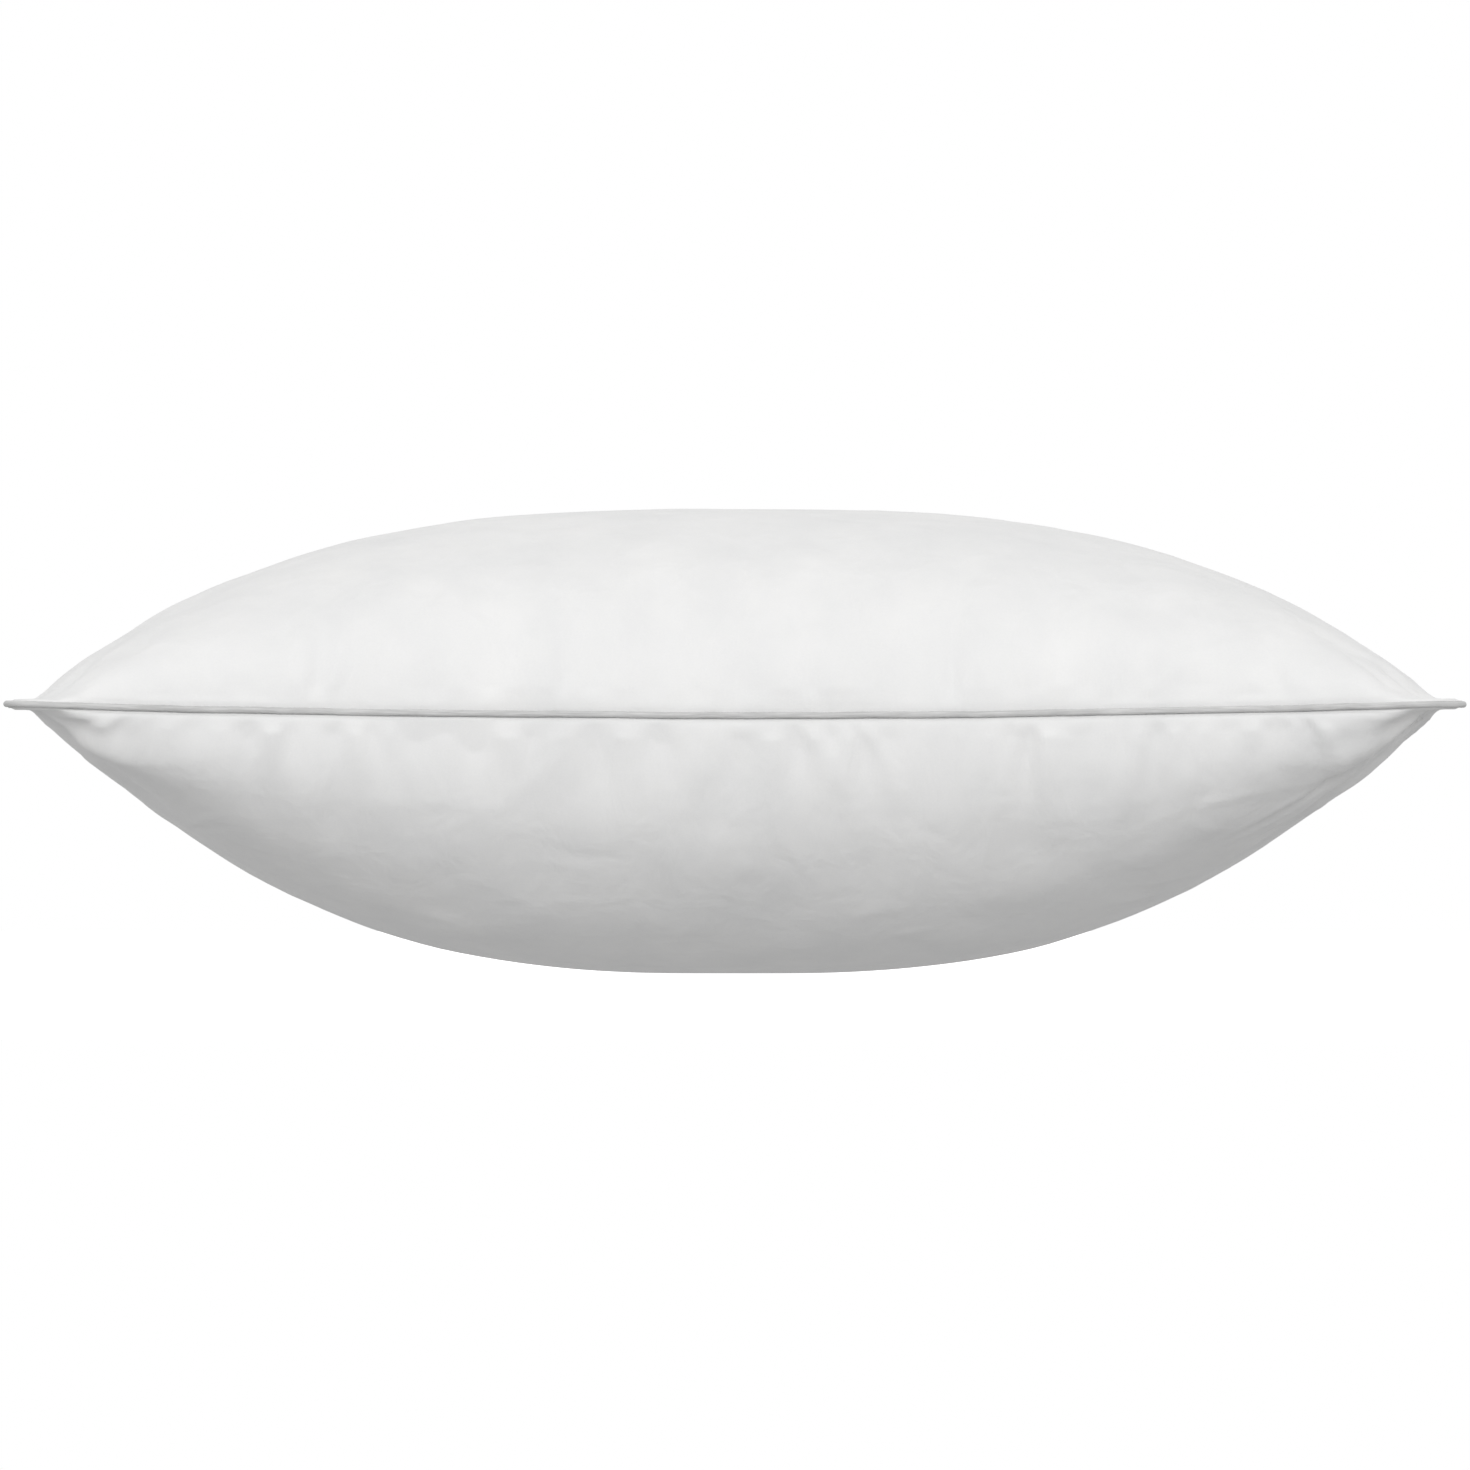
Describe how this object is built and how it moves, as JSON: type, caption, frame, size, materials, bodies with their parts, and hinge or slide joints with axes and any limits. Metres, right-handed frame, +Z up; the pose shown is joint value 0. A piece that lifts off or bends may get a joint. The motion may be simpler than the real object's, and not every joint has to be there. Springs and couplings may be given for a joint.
{
  "type": "bed pillow",
  "caption": "Plump white bed pillow: two cotton panels sewn round a piped seam, thin flat corners, crowned top, deep rounded underside, fibre filled.",
  "frame": {"origin": "on the base under the middle of the pillow, where it rests", "axes": "+X along the long sides, +Y along the short sides, +Z up through the crown; the long side at -Y is the front"},
  "size_m": [0.7346, 0.4834, 0.2352],
  "materials": {
    "ticking": "plain-woven white cotton with a faint sheen",
    "piping": "white cotton bias strip, pulled tight over a cord",
    "cord": "twisted natural cotton cord",
    "thread": "white spun polyester thread",
    "fill": "white polyester fibre",
    "label": "blank white satin ribbon"
  },
  "bodies": {
    "pillow": {"top_panel": "ticking", "bottom_panel": "ticking", "piping_sleeve": "piping", "piping_cord": "cord", "seam_needle_thread": "thread", "seam_bobbin_thread": "thread", "overlock_edge": "thread", "fill": "fill", "closing_stitch_top": "thread", "closing_stitch_bottom": "thread"},
    "label": {"care_label": "label"}
  },
  "joints": [
    {"name": "label_swing", "type": "hinge", "parent": "pillow", "child": "label", "pos_m": [-0.212, 0.21301, 0.13083], "axis": [0.9919, -0.1259, -0.0189], "range_deg": [-8, 90]}
  ]
}
